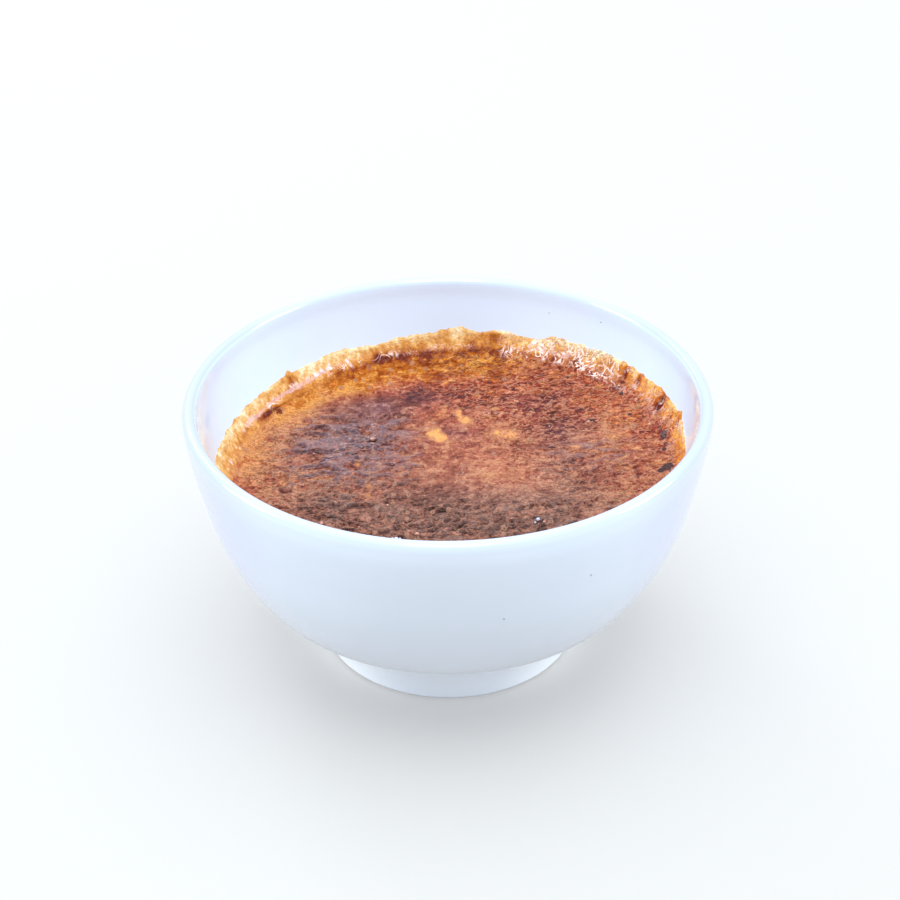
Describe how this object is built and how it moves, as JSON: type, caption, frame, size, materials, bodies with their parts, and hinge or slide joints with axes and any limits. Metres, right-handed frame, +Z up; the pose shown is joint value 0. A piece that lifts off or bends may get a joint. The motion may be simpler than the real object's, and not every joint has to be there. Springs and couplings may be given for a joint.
{
  "type": "creme brulee in a footed porcelain bowl",
  "caption": "Footed white porcelain bowl filled two thirds high with baked custard under a browned caramel crust.",
  "frame": {"origin": "centre of the foot ring's flat underside, where the bowl stands", "axes": "+Z up along the bowl's axis, +Y towards the far side, +X to the right as the bowl is looked at from -Y"},
  "size_m": [0.115, 0.115, 0.0612],
  "materials": {
    "bowl": "gloss",
    "custard": "satin"
  },
  "bodies": {
    "root": {"bowl": "bowl", "custard": "custard"}
  },
  "joints": []
}
